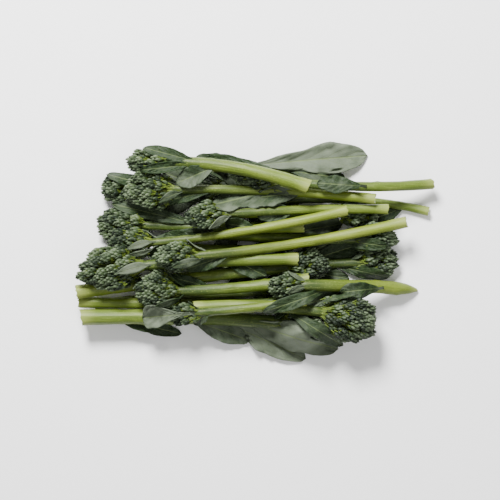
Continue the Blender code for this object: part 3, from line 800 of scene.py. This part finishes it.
def stem_mesh(spear, draw):
    radius, reach = stem_surface(spear, draw)
    to_head, _ = FLORETS[spear.name]
    fork = fork_at(spear)

    def line(v):
        t = v * reach
        if t <= fork:
            return centre_point(spear, t)
        return to_head @ Vector((0, 0, (t - fork) * spear_length(spear)))

    bm = rolled_tube(line, radius, round(reach * spear_length(spear) / RING_STEP), STEM_SIDES)
    ragged_cut(bm, spear, draw)
    close_cut_end(bm, spear)
    return closed(bm)


# %% [markdown]
# From the fork, a branchlet runs to each floret. A straight one would look like a spoke. A real one
# leaves the stem along its direction and curves outwards, so a curve with one guide point near the stem's
# axis fits. Branchlets get thinner on the way, and a thick stem has thick ones. Their green is kept on the
# dark side, as painted shade in the gaps inside the head.

# %% Branchlets, and all the stems
BRANCHLET_SIDES, BRANCHLET_RINGS = 6, 7
BRANCHLET_STARTS = (0.02, 0.16)
BRANCHLET_SIZES, BRANCHLET_TAPER = (0.8, 1.15), 0.4
PLAIN_STEM = 4.2
GUIDE_OUT, GUIDE_ON = 0.3, 0.5
INTO_FLORET = 0.35
BRANCHLET_V, BRANCHLET_V_SPAN = 0.35, 0.3
# The branchlets' greens are drawn from a darker range, as painted shade inside the head.
BRANCHLET_PAINTED_SHADE_TONES = (0.2, 0.8)


def branchlet_mesh(spear, floret, draw):
    """A branchlet. Its V is that of a stem's middle, where the skin is neither pale nor deep."""
    to_head, _ = FLORETS[spear.name]
    start = Vector((0, 0, -draw.uniform(*BRANCHLET_STARTS) * spear.head_long * MM))
    end = floret.base + floret.way * INTO_FLORET * floret.radius
    guide = Vector((GUIDE_OUT * end.x, GUIDE_OUT * end.y, GUIDE_ON * end.z))
    thick = draw.uniform(*BRANCHLET_SIZES) * MM * (spear.stem / PLAIN_STEM)

    def line(v):
        return to_head @ (start * (1 - v) ** 2 + guide * 2 * v * (1 - v) + end * v * v)

    def radius(v, angle):
        return thick * (1 - BRANCHLET_TAPER * v)

    bm = closed(rolled_tube(line, radius, BRANCHLET_RINGS, BRANCHLET_SIDES))
    uv_layer = bm.loops.layers.uv.verify()
    for face in bm.faces:
        for loop in face.loops:
            loop[uv_layer].uv.y = BRANCHLET_V + BRANCHLET_V_SPAN * loop[uv_layer].uv.y
    return bm


for spear in SPEARS:
    draw = random.Random("stem of " + spear.name)
    parts = [shaded(stem_mesh(spear, draw), spear.bright)]
    for floret in FLORETS[spear.name][1]:
        branchlet = branchlet_mesh(spear, floret, draw)
        parts.append(shaded(branchlet, draw.uniform(*BRANCHLET_PAINTED_SHADE_TONES)))
    finished(f"stem_{spear.name}", merged(parts), ["stem", "pith"], node_of(spear, "stem"))
print("stems:", sum(len(o.data.polygons) for o in bpy.data.objects if o.name.startswith("stem_")), "faces")

# %% [markdown]
# A leaf is a grid too. It could be a flat picture with a see-through edge, but a real mesh has an edge
# that casts shadows and shows from the side. Its outline is drawn by how wide it is at each share of its
# length: a narrow stalk, and then a blade with a round tip.

# %% A leaf's outline
LEAF_ROWS, LEAF_COLUMNS = 34, 14
STALK_HALF = 1.0 * MM
STALK_SHARE = 0.16
BLADE_START, BLADE_END = 0.10, 0.90
TIP_START, TIP_SHARE = 0.9, 0.1


def leaf_half_width(leaf, u):
    if u < STALK_SHARE:
        return STALK_HALF
    share = (u - STALK_SHARE) / (1 - STALK_SHARE)
    along = BLADE_START + (BLADE_END - BLADE_START) * share
    blade = 0.5 * leaf.wide * MM * math.sin(math.pi * along ** leaf.lean)
    tip = math.sqrt(max(0.0, 1 - max(0.0, (share - TIP_START) / TIP_SHARE) ** 2))
    return max(STALK_HALF * tip, blade * tip)


sample = SPEARS[0].leaves[0]
widths = [round(leaf_half_width(sample, u / 5) / MM, 1) for u in range(6)]
print("half widths of the first leaf:", widths, "mm")

# %% [markdown]
# The leaf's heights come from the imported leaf: at each point, the pair of crossings that is one leaf's
# thickness apart. Where the line meets no leaf, as just outside the plain outline, the neighbours'
# heights are used, round by round, as a stain spreads over cloth.

# %% A leaf's heights
LEAF_THICK = 0.9 * MM
THINNEST_SHEET, THICKEST_SHEET = 0.7, 1.5
LEAF_SMOOTHINGS = 4


def leaf_heights(node, spots, start_height):
    """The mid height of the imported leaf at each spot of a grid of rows. None where there isn't one."""
    rows, before = [], start_height
    for row in spots:
        heights = []
        for x, y in row:
            sheets = [(top + under) / 2 for top, under in crossings(node, x, y)
                      if THINNEST_SHEET * LEAF_THICK < top - under < THICKEST_SHEET * LEAF_THICK]
            heights.append(min(sheets, key=lambda z: abs(z - before)) if sheets else None)
        known = sorted(z for z in heights if z is not None)
        before = known[len(known) // 2] if known else before
        rows.append(heights)
    return rows


def filled(rows):
    """Each gap takes the mean of its known neighbours, round by round, and then all is smoothed."""
    rows = [list(row) for row in rows]
    tall, wide = len(rows), len(rows[0])

    def around(i, j):
        beside = [(i - 1, j), (i + 1, j), (i, j - 1), (i, j + 1)]
        near = [rows[a][b] for a, b in beside if 0 <= a < tall and 0 <= b < wide]
        return [z for z in near if z is not None]

    def evened(i, j):
        near = around(i, j)
        return 0.5 * rows[i][j] + 0.5 * sum(near) / len(near)

    while any(z is None for row in rows for z in row):
        found = {(i, j): around(i, j) for i in range(tall) for j in range(wide) if rows[i][j] is None}
        for (i, j), near in found.items():
            if near:
                rows[i][j] = sum(near) / len(near)
    for _ in range(LEAF_SMOOTHINGS):
        rows = [[evened(i, j) for j in range(wide)] for i in range(tall)]
    return rows


print("a gap between 1 and 3 is filled with", filled([[1, None, 3]])[0][1])

# %% [markdown]
# The leaves lie between stems and heads, often with less than a millimetre to spare. What makes them
# lifelike would push them into their neighbours, so every lift is held back to the room that there is. A
# ray from the leaf, up or down, finds the next solid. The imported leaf's own skin comes first and doesn't
# count. A leaf that is inside another solid already isn't lifted at all.

# %% Room between the solids
HEAP = search_tree(frame["nodes"].values())
SHEET_CLEARANCE = 0.6
OWN_SKIN = 0.5


def held_lift(place, lift):
    """As much of a lift, up or down, as there is room for before the leaf meets another solid."""
    way, reach = Vector((0, 0, math.copysign(1, lift))), abs(lift) + LEAF_THICK
    point, normal, _, far = HEAP.ray_cast(place + way * SHEET_CLEARANCE * LEAF_THICK, way, reach)
    if point and normal.dot(way) > 0:
        if far > OWN_SKIN * LEAF_THICK:
            return 0.0
        point = HEAP.ray_cast(point + way * RAY_STEP, way, reach)[0]
    if not point:
        return lift
    room = (point - place).dot(way) - SHEET_CLEARANCE * LEAF_THICK
    return math.copysign(min(abs(lift), max(0.0, room)), lift)


print("the search tree of the whole heap holds", len(frame["nodes"]), "solids")

# %% [markdown]
# Then comes what the plain leaf lacks. It is folded a little along its midrib, its edge is ruffled and
# uneven, it is puckered between its side veins, and it is crumpled, because limp leaves were pressed
# together. A cloth simulation could crumple it, but noise is quicker, and it comes out the same each
# time. The larger a leaf, the greyer it is made: partly the grey bloom of older leaves, and partly a
# painted pale reflection on the large leaves and painted shade on the small ones.

# %% Shape a leaf
LEAF_SEAT = 0.6
BLADE_RISE = 0.2
FOLDS = (0.06, 0.3)
CUPPING, RUFFLING = 0.1, 0.3
WIDE_RUFFLES, FINE_RUFFLES, FINE_SHARE = (13, 3), (30, 5), 0.6
PUCKER_SIZE, PUCKER_SLANT = 1.8, 0.3
CRUMPLE_SIZE, CRUMPLES = 1.3, 170
EDGE_UNEVEN, EDGE_PACE = 0.2, (5, 2)
LEAF_WELD = 0.02 * MM
OFF_FLOOR = 0.2 * MM
GREENEST_WIDE, GREYEST_WIDE = 11, 21
GREY_SPREAD = (-0.15, 0.15)


def blade_share(u):
    """0 on the stalk, and 1 on the blade."""
    return min(1.0, max(0.0, u - STALK_SHARE) / BLADE_RISE)


def leaf_lift(leaf, u, v, spot, phase, fold):
    """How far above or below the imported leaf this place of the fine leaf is."""
    off, half = abs(2 * v - 1), leaf_half_width(leaf, u)
    ruffle = noise.noise(Vector((phase + WIDE_RUFFLES[0] * u, WIDE_RUFFLES[1] * v, 0)))
    ruffle += FINE_SHARE * noise.noise(Vector((phase + FINE_RUFFLES[0] * u, FINE_RUFFLES[1] * v, 5)))
    pucker = math.sin(math.tau * SIDE_VEINS * (u - PUCKER_SLANT * off)) * off * (1 - off)
    crumple = noise.noise(Vector((*(CRUMPLES * spot), phase)))
    ruffled = half * off ** 2 * (CUPPING + RUFFLING * ruffle)
    puckered = (PUCKER_SIZE * pucker + CRUMPLE_SIZE * crumple) * MM
    return blade_share(u) * (ruffled + puckered + fold * half * off)


def leaf_mesh(spear, leaf, draw):
    root, tip = plan_point(spear, leaf.at), Vector(leaf.tip) * MM - PLAN_MIDDLE
    way = tip - root
    across = way.orthogonal().normalized()
    columns = [j / LEAF_COLUMNS for j in range(LEAF_COLUMNS + 1)]

    def spot(u, v):
        return root + way * u + across * (2 * v - 1) * leaf_half_width(leaf, u)

    spots = [[spot(i / LEAF_ROWS, v) for v in columns] for i in range(LEAF_ROWS + 1)]
    start = centre_point(spear, leaf.at).z + LEAF_SEAT * stem_radius(spear, leaf.at)
    heights = leaf_heights(node_of(spear, "stem"), spots, start)
    heights[0] = [start] * len(columns)
    heights = filled(heights)
    bm = flat_grid(LEAF_ROWS, LEAF_COLUMNS)
    phase, fold = draw.uniform(*NOISE_STARTS), draw.uniform(*FOLDS)
    for vert in bm.verts:
        u, v = vert.co.x + 0.5, vert.co.y + 0.5
        i, j = round(u * LEAF_ROWS), round(v * LEAF_COLUMNS)
        uneven = noise.noise(Vector((phase + EDGE_PACE[0] * u, 40, EDGE_PACE[1] * v)))
        edge = 1 + EDGE_UNEVEN * blade_share(u) * abs(2 * v - 1) ** 4 * uneven
        centre = root + way * u
        flat = centre + (spots[i][j] - centre) * edge
        place = Vector((flat.x, flat.y, heights[i][j]))
        lift = held_lift(place, leaf_lift(leaf, u, v, spots[i][j], phase, fold))
        vert.co = (flat.x, flat.y, max(OFF_FLOOR, place.z + lift))
    bmesh.ops.remove_doubles(bm, verts=bm.verts, dist=LEAF_WELD)
    bmesh.ops.recalc_face_normals(bm, faces=bm.faces)
    if sum(face.normal.z for face in bm.faces) < 0:
        bmesh.ops.reverse_faces(bm, faces=bm.faces)
    # Greyer with width: partly bloom, and partly a painted pale reflection on large leaves and painted
    # shade on small ones.
    grey = (leaf.wide - GREENEST_WIDE) / (GREYEST_WIDE - GREENEST_WIDE) + draw.uniform(*GREY_SPREAD)
    return shaded(bm, min(1.0, max(0.0, grey)))


# %% [markdown]
# Two leaves of one spear may cross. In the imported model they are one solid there, so both would get the
# same heights and flicker in and out of each other. Real leaves pass one under the other. So each leaf is
# made in turn, and wherever it comes near an earlier one it is tucked under that one.

# %% Tuck leaves under each other, and make all large leaves
FINE_THICK = 0.4 * MM
TUCK_REACH, TUCK_GAP = 3 * MM, 3 * MM
TUCK_STEP = 1.2


def tuck_under(bm, earlier):
    """Where a leaf nearly meets an earlier one, it passes under it."""
    for vert in bm.verts:
        above = vert.co + Vector((0, 0, TUCK_REACH))
        point = earlier.ray_cast(above, DOWN, TUCK_REACH + TUCK_GAP)[0]
        if point:
            vert.co.z = max(OFF_FLOOR, min(vert.co.z, point.z - TUCK_STEP * FINE_THICK))


def leaves_of(spear, draw):
    leaves, trees = [], []
    for leaf in spear.leaves:
        bm = leaf_mesh(spear, leaf, draw)
        for tree in trees:
            tuck_under(bm, tree)
        trees.append(BVHTree.FromBMesh(bm))
        leaves.append(bm)
    return leaves


LEAF_DRAWS = {spear.name: random.Random("leaves of " + spear.name) for spear in SPEARS}
LEAVES = {spear.name: leaves_of(spear, LEAF_DRAWS[spear.name]) for spear in SPEARS}
print("large leaves:", sum(len(leaves) for leaves in LEAVES.values()))

# %% [markdown]
# Round each head stand a few small narrow leaves that hug the florets. There are no solids of them to
# read, so the head's own shape places them: they start at the fork and lie on its egg, a little outside
# the buds. They are given by an angle round the head, which bends them to it without any work.

# %% One small leaf
BRACT_ROWS, BRACT_COLUMNS = 16, 6
BRACT_STALK = 0.22
BRACT_START = -0.1
BRACT_TWISTS = (-0.5, 0.5)
BRACT_SHADES = (0, 0.8)
BRACT_EGG, BRACT_EGG_SPAN, EGG_ROUNDNESS = 0.06, 0.80, 0.6
BESIDE_STEM, OUTSIDE_BUDS = 1.6 * MM, 1.02
TIP_LEAN, TIP_CURL = 0.5, 2.5
STALK_EDGE = 0.6 * MM
TIGHTEST_BEND = 3 * MM
BRACT_CUP, BRACT_WAVE, BRACT_WAVES = 0.8 * MM, 0.9 * MM, (9, 2)


def bract_mesh(spear, angle, long, wide, draw):
    """A small leaf. long is a share of the head's length, and wide is in millimetres, as in the plan."""
    to_head, _ = FLORETS[spear.name]
    half_wide = 0.5 * spear.head_wide * MM
    length = spear.head_long * MM
    bm = flat_grid(BRACT_ROWS, BRACT_COLUMNS)
    twist = draw.uniform(*BRACT_TWISTS)
    phase = draw.uniform(*NOISE_STARTS)
    for vert in bm.verts:
        u, v = vert.co.x + 0.5, 2 * vert.co.y
        z = (BRACT_START + long * u) * length
        share = min(1.0, max(0.0, z / length))
        egg = math.sin(math.pi * min(1.0, BRACT_EGG + BRACT_EGG_SPAN * share)) ** EGG_ROUNDNESS
        blade = max(0.0, u - BRACT_STALK) / (1 - BRACT_STALK)
        hug = min(1.0, u / BRACT_STALK)
        reach = BESIDE_STEM + hug * max(0.0, half_wide * egg * OUTSIDE_BUDS - BESIDE_STEM)
        reach += (TIP_LEAN * u + TIP_CURL * u ** 4) * MM
        half = max(STALK_EDGE * (1 - u), 0.5 * wide * MM * math.sin(math.pi * blade ** 0.9) ** 0.8)
        turn = angle + twist * u + v * half / max(reach, TIGHTEST_BEND)
        wave = noise.noise(Vector((phase + BRACT_WAVES[0] * u, BRACT_WAVES[1] * v, 0)))
        reach += BRACT_CUP * v * v + BRACT_WAVE * wave
        place = to_head @ Vector((reach * math.cos(turn), HEAD_FLATTEN * reach * math.sin(turn), z))
        vert.co = (place.x, place.y, max(OFF_FLOOR, place.z))
    bmesh.ops.recalc_face_normals(bm, faces=bm.faces)
    return shaded(bm, draw.uniform(*BRACT_SHADES))


# %% [markdown]
# A small leaf that would cut through a large one is left out, because nothing shows which would give way.
# All the leaves of a spear become one piece. A Solidify modifier gives the sheet its thickness, which
# keeps the mesh that is made here a simple single sheet.

# %% Small leaves round the heads, and all the leaves
BRACTS, BRACT_STEP = 4, 1.7
BRACT_LONG, BRACT_WIDE = (0.35, 0.7), (3.5, 7.5)
LARGE_LEAF_TREES = [BVHTree.FromBMesh(bm) for leaves in LEAVES.values() for bm in leaves]


def cuts_a_leaf(bm):
    own = BVHTree.FromBMesh(bm)
    return any(own.overlap(tree) for tree in LARGE_LEAF_TREES)


leaf_pieces = []
small_leaves = 0
for spear in SPEARS:
    draw = LEAF_DRAWS[spear.name]
    first = draw.uniform(0, math.tau)
    bracts = []
    for k in range(BRACTS):
        long, wide = draw.uniform(*BRACT_LONG), draw.uniform(*BRACT_WIDE)
        bracts.append(bract_mesh(spear, first + k * BRACT_STEP, long, wide, draw))
    bracts = [bm for bm in bracts if not cuts_a_leaf(bm)]
    small_leaves += len(bracts)
    parts = merged(LEAVES[spear.name] + bracts)
    piece = finished(f"leaves_{spear.name}", parts, ["leaf"], node_of(spear, "stem"), 60)
    sheet = piece.modifiers.new("sheet", "SOLIDIFY")
    sheet.thickness = FINE_THICK
    leaf_pieces.append(piece)
leaf_faces = sum(len(piece.data.polygons) for piece in leaf_pieces)
print(small_leaves, "small leaves,", leaf_faces, "faces on all leaves")

# %% [markdown]
# One bud is turned from a profile: a thin stalk, then a long egg with a pointed tip. Spin makes it, with
# few sides, because there are thousands. A particle system could scatter them, but its copies aren't real
# faces until they are made so, and here each copy takes its own length and width, and its own shade.

# %% One bud
BUD_SIDES = 5
BUD_WELD = 1e-4
BUD_PROFILE = [(0.32, 0.0), (0.30, 0.32), (0.84, 0.44), (1.0, 0.63), (0.70, 0.87), (0.0, 1.0)]


def bud_template():
    """A bud of radius 1 and length 1 with its stalk. Its material reads the layers along and shade."""
    bm = bmesh.new()
    verts = [bm.verts.new((x, 0, z)) for x, z in BUD_PROFILE]
    edges = [bm.edges.new(pair) for pair in zip(verts, verts[1:])]
    bmesh.ops.spin(
        bm, geom=[*verts, *edges], cent=(0, 0, 0), axis=(0, 0, 1), angle=math.tau, steps=BUD_SIDES,
        use_merge=True)
    bmesh.ops.remove_doubles(bm, verts=bm.verts, dist=BUD_WELD)
    bmesh.ops.recalc_face_normals(bm, faces=bm.faces)
    along = bm.verts.layers.float.new("along")
    bm.verts.layers.float.new("shade")
    for vert in bm.verts:
        vert[along] = vert.co.z
    mesh = bpy.data.meshes.new("bud")
    bm.to_mesh(mesh)
    bm.free()
    return mesh


BUD = bud_template()
print("a bud has", len(BUD.polygons), "faces")

# %% [markdown]
# The buds of one floret fan out from the end of their branchlet into a dome that is longer than it is
# wide. They lean forwards, so from the side they are seen as long eggs that all point to the head's
# outside. The golden angle spaces them as it does the florets.

# %% The buds of one floret
BUD_SPACING = 2.6 * MM
BUD_RADIUS = 1.2 * MM
BUD_LENGTH = 7.6 * MM
BUD_WIDTHS, BUD_LENGTHS = (0.82, 1.15), (0.85, 1.1)
BUD_REACHES = (0.92, 1.08)
BUD_LEAN, BUD_UNEVEN = 1.7, 0.12
FEWEST_BUDS = 7
DOME_ANGLE = math.radians(84)
DOME_BACK, DOME_INSIDE = 0.4, 0.84


def inside(floret, place):
    """Whether a place is inside a floret's dome."""
    off = place - floret.base
    along = off.dot(floret.way)
    across = off.length_squared - along * along
    if along <= -DOME_BACK * floret.radius:
        return False
    return (along / FLORET_STRETCH) ** 2 + across < (DOME_INSIDE * floret.radius) ** 2


def floret_buds(floret, others, draw):
    """A placing matrix for each bud of a floret, and how near it is to the floret's top, from 0 to 1."""
    area = math.tau * floret.radius ** 2 * (1 - math.cos(DOME_ANGLE)) * 0.5 * (1 + FLORET_STRETCH)
    count = max(FEWEST_BUDS, round(area / BUD_SPACING ** 2))
    lean = Vector((0, 0, 1)).rotation_difference(floret.way)
    first = draw.uniform(0, math.tau)
    for j in range(count):
        rise = 1 - (j + 0.5) / count * (1 - math.cos(DOME_ANGLE))
        angle = first + j * GOLDEN_ANGLE
        round_it = math.sqrt(1 - rise * rise)
        dome = Vector((round_it * math.cos(angle), round_it * math.sin(angle), FLORET_STRETCH * rise))
        tip = floret.base + lean @ dome * floret.radius * draw.uniform(*BUD_REACHES)
        if any(inside(other, tip) for other in others):
            continue
        jitter = BUD_UNEVEN * Vector([draw.gauss(0, 1) for _ in range(3)])
        way = (lean @ dome.normalized() + BUD_LEAN * floret.way + jitter).normalized()
        turn = Vector((0, 0, 1)).rotation_difference(way).to_matrix().to_4x4()
        wide, long = BUD_RADIUS * draw.uniform(*BUD_WIDTHS), BUD_LENGTH * draw.uniform(*BUD_LENGTHS)
        yield Matrix.Translation(tip - way * long) @ turn @ Matrix.Diagonal((wide, wide, long, 1)), rise


# %% [markdown]
# A bud is left out where it would be inside a neighbouring dome, or would come through a leaf that lies
# on the head, or would be under the floor. Every floret has its own shade, and each bud differs a little
# from it: the florets low on the head are brighter and more yellow. The buds on a floret's top are also
# painted brighter and those round its rim darker, as painted shade in the gaps between the florets.

# %% Heads of buds
LEAF_TREE = search_tree(leaf_pieces)
FLOOR_CLEARANCE = 0.8 * MM
BEYOND_TIP = 0.4 * MM
BUD_MIDDLE = 0.65
NEIGHBOURS = 4
YOUNG_SHARE, YOUNG_BRIGHTER = 0.35, 0.5
FLORET_SHADES = (0.1, 0.7)
PAINTED_RIM_SHADE, UNSHADED_RISE, BUD_SHADES = 0.3, 0.6, 0.15


def covered(start, middle, tip):
    """Whether a leaf or the floor is in the way of a bud."""
    way = tip - start
    pierced = LEAF_TREE.ray_cast(start, way.normalized(), way.length + BEYOND_TIP)[0] is not None
    return pierced or tip.z < FLOOR_CLEARANCE or LEAF_TREE.find_nearest(middle, BUD_RADIUS)[0] is not None


def head_mesh(spear, draw):
    to_head, florets = FLORETS[spear.name]
    whole = bmesh.new()
    points = len(BUD.vertices)
    for floret in florets:
        reach = NEIGHBOURS * floret.radius
        near = [other for other in florets if 0 < (other.base - floret.base).length < reach]
        low = max(0.0, 1 - floret.base.z / (YOUNG_SHARE * spear.head_long * MM))
        floret_shade = draw.uniform(*FLORET_SHADES) + YOUNG_BRIGHTER * low
        for placing, rise in floret_buds(floret, near, draw):
            bud_to_world = to_head @ placing
            middle, tip = (bud_to_world @ Vector((0, 0, z)) for z in (BUD_MIDDLE, 1))
            if covered(to_head @ floret.base, middle, tip):
                continue
            bud = BUD.copy()
            bud.transform(bud_to_world)
            # Painted shade: a bud round the floret's rim is made darker, and one on its top brighter.
            shade = floret_shade + PAINTED_RIM_SHADE * (rise - UNSHADED_RISE) + draw.gauss(0, BUD_SHADES)
            shade = min(1.0, max(0.0, shade))
            bud.attributes["shade"].data.foreach_set("value", [shade] * points)
            whole.from_mesh(bud)
            bpy.data.meshes.remove(bud)
    return whole


for spear in SPEARS:
    whole = head_mesh(spear, random.Random("buds of " + spear.name))
    piece = finished(f"head_{spear.name}", whole, ["bud"], node_of(spear, "head"), 70)
    print(piece.name, len(piece.data.polygons) // len(BUD.polygons), "buds")

# %% [markdown]
# The bunch lies on a plain pale surface, under the soft light of a small studio: one broad lamp above and
# behind it, a weaker one in front, and a pale surround that keeps the shadows from going black. A single
# sun would be simpler, but its hard shadows would cut the heap into black and green.

# %% Floor and light
FLOOR_HALF = 2.0
FLOOR_PAINT = (0.93, 0.93, 0.93, 1)
SURROUND_STRENGTH = 0.45


def studio_floor():
    bm = bmesh.new()
    bmesh.ops.create_grid(bm, x_segments=1, y_segments=1, size=FLOOR_HALF)
    mesh = bpy.data.meshes.new("floor")
    bm.to_mesh(mesh)
    bm.free()
    mesh.materials.append(Graph("floor_paint").surface({"Base Color": FLOOR_PAINT, "Roughness": 0.7}))
    floor = bpy.data.objects.new("floor", mesh)
    bpy.context.scene.collection.objects.link(floor)
    floor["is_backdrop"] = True


def soft_lamp(name, place, size, power):
    lamp = bpy.data.lights.new(name, "AREA")
    lamp.shape = "DISK"
    lamp.size = size
    lamp.energy = power
    holder = bpy.data.objects.new(name, lamp)
    holder.location = place
    holder.rotation_euler = (-Vector(place)).to_track_quat("-Z", "Y").to_euler()
    bpy.context.scene.collection.objects.link(holder)


studio_floor()
soft_lamp("key", place=(-0.25, 0.75, 0.9), size=0.4, power=52)
soft_lamp("fill", place=(0.4, -0.5, 1.1), size=1.0, power=6)
surround = bpy.data.worlds.new("surround")
surround.use_nodes = True
surround.node_tree.nodes["Background"].inputs["Color"].default_value = (1, 1, 1, 1)
surround.node_tree.nodes["Background"].inputs["Strength"].default_value = SURROUND_STRENGTH
bpy.context.scene.world = surround
print("lamps:", [light.name for light in bpy.data.lights])

# %% [markdown]
# The photograph looks straight down on the heap, so the camera does too, from far off and with a long
# lens, which keeps the spears' proportions as they are in the plan. A camera with no perspective would
# keep them exactly, but a real lens shows a trace of depth.

# %% Camera
VIEW_WIDTH = 350 * MM
VIEW_MIDDLE = Vector((-3.5, 1.4)) * MM - PLAN_MIDDLE
LENS = 150

camera = bpy.data.objects.new("camera", bpy.data.cameras.new("camera"))
camera.data.lens = LENS
middle_height = 0.5 * cad_box[1].z
distance = VIEW_WIDTH * LENS / camera.data.sensor_width
camera.location = (*VIEW_MIDDLE, middle_height + distance)
bpy.context.scene.collection.objects.link(camera)
bpy.context.scene.camera = camera
print("camera", round(distance, 2), "m above the bunch")

# %% Print the dressed bunch's size and finish
full_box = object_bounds()
triangles = sum(len(face.vertices) - 2 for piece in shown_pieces() for face in piece.data.polygons)
print("dressed bunch:", in_mm(full_box), "mm,", triangles, "triangles")
